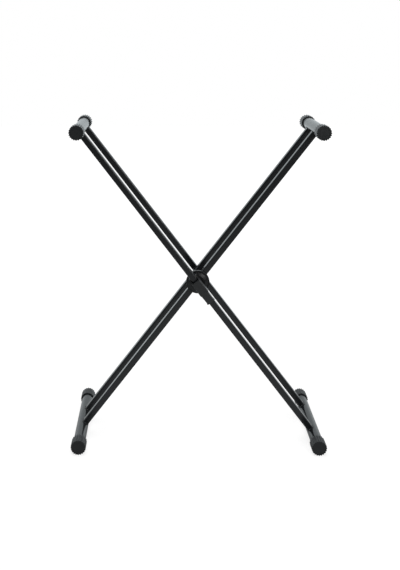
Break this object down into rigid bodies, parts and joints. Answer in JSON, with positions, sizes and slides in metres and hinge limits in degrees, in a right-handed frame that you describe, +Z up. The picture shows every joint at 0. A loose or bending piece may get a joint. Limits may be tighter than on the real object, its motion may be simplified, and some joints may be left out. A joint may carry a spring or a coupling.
{
  "type": "keyboard stand",
  "caption": "X-shaped folding keyboard stand: doubled crossed legs on a disc clutch with a squeeze lever, and round bars with ribbed rubber end caps.",
  "frame": {"origin": "on the floor at the middle of the base, under the fold axis", "axes": "+Z up; +Y from the lever side to the back, along the fold axis; +X across the stand to the right when seen from the lever side"},
  "size_m": [0.6752, 0.32, 0.8722],
  "materials": {
    "black_powder_coat": "satin black powder coat on steel tube",
    "dark_rubber": "matte moulded rubber",
    "lever_steel": "satin black powder coat on sheet steel",
    "dark_plastic": "fine spark-eroded mould texture",
    "spring_steel": "drawn wire",
    "pad_lining": "moulded friction lining",
    "nylon": "natural nylon",
    "disc_steel": "satin black coat on turned steel",
    "black_zinc": "black zinc plate"
  },
  "bodies": {
    "outer_frame": {"outer_leg_front": "black_powder_coat", "outer_leg_rear": "black_powder_coat", "left_top_bar": "black_powder_coat", "left_top_cap_front": "dark_rubber", "left_top_cap_rear": "dark_rubber", "right_base_bar": "black_powder_coat", "right_base_cap_front": "dark_rubber", "right_base_cap_rear": "dark_rubber", "outer_clutch_disc": "disc_steel", "clutch_spring": "spring_steel", "lever_pin": "black_zinc", "lever_spacer_left": "nylon", "lever_spacer_right": "nylon", "rear_pivot_bolt": "black_zinc", "rear_pivot_nut": "black_zinc", "rear_head_washer": "black_zinc", "rear_nut_washer": "black_zinc", "rear_spacer": "black_powder_coat"},
    "inner_frame": {"inner_leg_front": "black_powder_coat", "inner_leg_rear": "black_powder_coat", "right_top_bar": "black_powder_coat", "right_top_cap_front": "dark_rubber", "right_top_cap_rear": "dark_rubber", "left_base_bar": "black_powder_coat", "left_base_cap_front": "dark_rubber", "left_base_cap_rear": "dark_rubber", "inner_clutch_disc": "disc_steel", "clutch_pad": "pad_lining"},
    "squeeze_lever": {"lever_frame": "lever_steel", "lever_grip": "dark_plastic"},
    "clutch_bolt": {"clutch_bolt": "black_zinc", "clutch_nut": "black_zinc", "clutch_washer": "black_zinc"}
  },
  "joints": [
    {"name": "fold", "type": "hinge", "parent": "outer_frame", "child": "inner_frame", "pos_m": [0, 0, 0.4361], "axis": [0, 1, 0], "range_deg": [-70, 25]},
    {"name": "lever_squeeze", "type": "hinge", "parent": "outer_frame", "child": "squeeze_lever", "pos_m": [-0.01213, -0.0697, 0.452], "axis": [0.7949, 0, 0.6067], "range_deg": [0, 4.5], "stiffness_Nm_per_rad": 1.5, "springref_deg": -11.46, "deforming": ["clutch_spring"]},
    {"name": "clutch_release", "type": "slide", "parent": "outer_frame", "child": "clutch_bolt", "axis": [0, 1, 0], "range_m": [0, 0.0016]}
  ],
  "couplings": [
    {"joint": "clutch_release", "follows": "lever_squeeze", "m_per_rad": 0.02}
  ]
}
